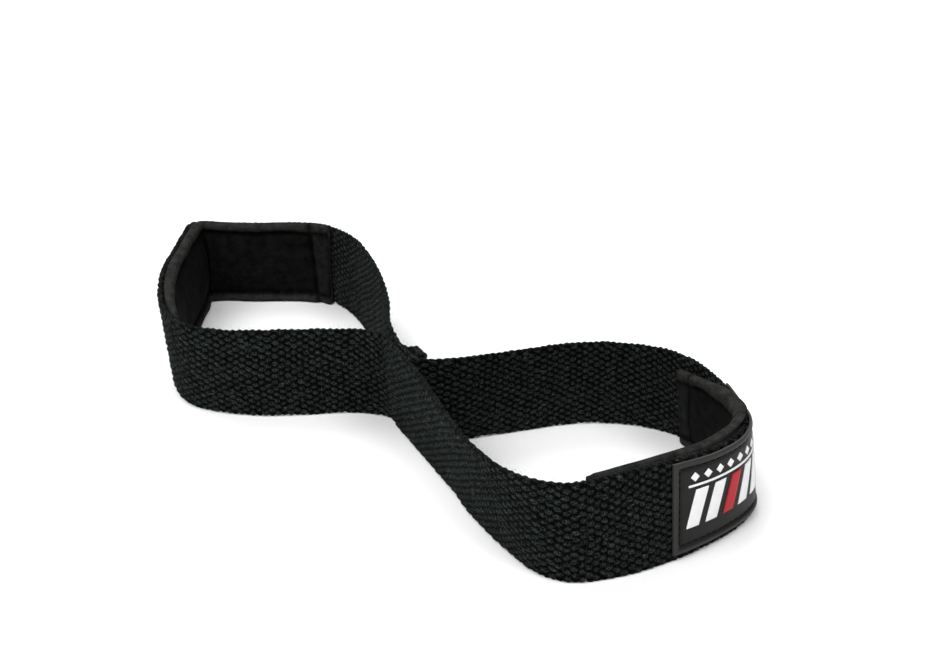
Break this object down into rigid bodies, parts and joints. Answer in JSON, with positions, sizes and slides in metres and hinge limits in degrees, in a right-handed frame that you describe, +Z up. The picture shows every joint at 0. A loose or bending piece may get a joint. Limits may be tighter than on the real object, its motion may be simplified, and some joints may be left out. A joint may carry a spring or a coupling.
{
  "type": "figure-eight lifting strap",
  "caption": "Figure-eight lifting strap: cotton webbing sewn into two wrist loops on either side of a seam, with foam wrist pads inside and a rubber patch outside.",
  "frame": {"origin": "under the middle of the strap's box, on the surface that it stands on", "axes": "+X along the figure eight, from the seam towards the loop with the patch; +Y towards the strap's rear; +Z up"},
  "size_m": [0.299, 0.1178, 0.0392],
  "materials": {
    "webbing": "coarse woven black cotton webbing, matte and slightly fuzzy",
    "pad": "smooth black knitted facing on foam, matte",
    "patch": "black moulded rubber, satin"
  },
  "bodies": {
    "root": {"webbing_strap": "webbing", "wrist_pad_left": "pad", "wrist_pad_right": "pad", "label_patch": "patch"}
  },
  "joints": []
}
